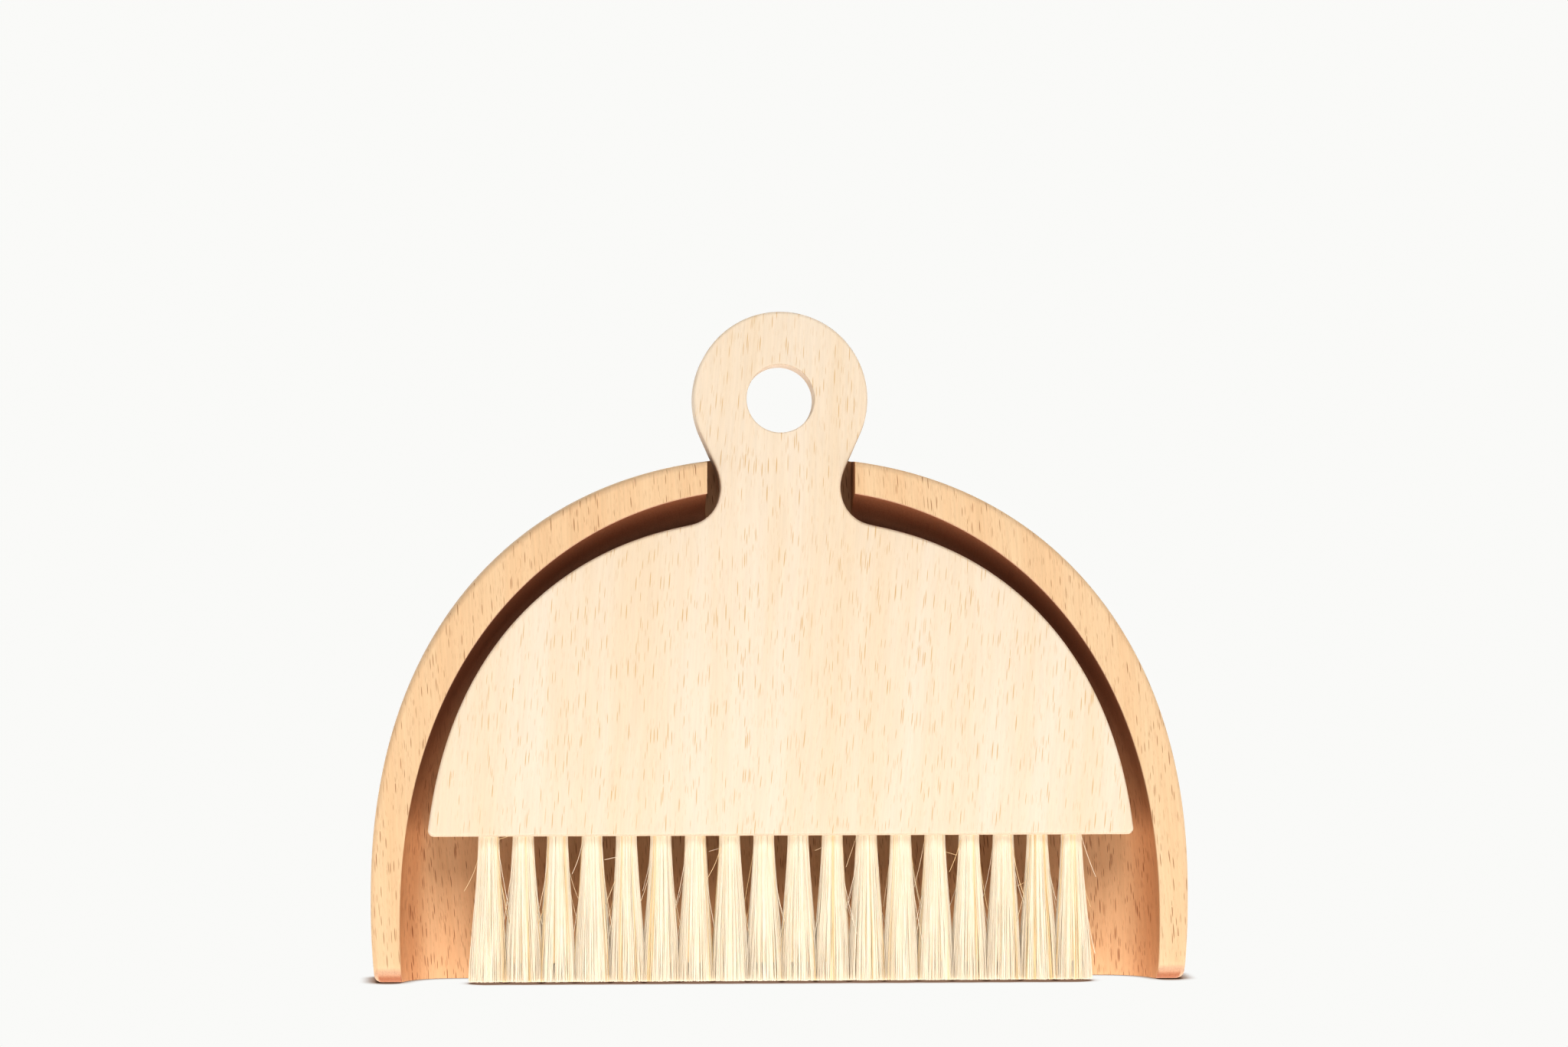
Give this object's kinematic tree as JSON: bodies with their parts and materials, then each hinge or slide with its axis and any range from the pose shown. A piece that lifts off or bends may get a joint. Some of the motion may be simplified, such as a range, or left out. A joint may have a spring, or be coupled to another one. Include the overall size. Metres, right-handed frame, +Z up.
{
  "type": "dust pan and brush set",
  "caption": "Half-round wooden dust pan standing on its open edge, with a flat ring-handled hand brush of pale bristle tufts resting inside its rim.",
  "frame": {"origin": "middle of the ground rectangle under the set, which stands on the open edge of the pan and the bristle tips", "axes": "+Z up, +X along the row of tufts, -Y out of the open front of the pan, towards the side that the brush is taken out of"},
  "size_m": [0.2146, 0.0265, 0.1756],
  "materials": {
    "pan_beech": "oiled beech, vertical grain with short brown flecks",
    "board_beech": "pale unfinished beech, sanded smooth, vertical grain with short tan flecks",
    "bristle": "cream plant fibre, straight and slightly glossy",
    "anchor_wire": "flat drawn wire"
  },
  "bodies": {
    "pan": {"dust_pan": "pan_beech"},
    "brush": {"brush_board": "board_beech", "tuft_anchors": "anchor_wire", "tuft_01": "bristle", "tuft_02": "bristle", "tuft_03": "bristle", "tuft_04": "bristle", "tuft_05": "bristle", "tuft_06": "bristle", "tuft_07": "bristle", "tuft_08": "bristle", "tuft_09": "bristle", "tuft_10": "bristle", "tuft_11": "bristle", "tuft_12": "bristle", "tuft_13": "bristle", "tuft_14": "bristle", "tuft_15": "bristle", "tuft_16": "bristle", "tuft_17": "bristle", "tuft_18": "bristle"}
  },
  "joints": [
    {"name": "brush_lift_out", "type": "slide", "parent": "pan", "child": "brush", "axis": [0, -1, 0], "range_m": [0, 0.08]}
  ]
}
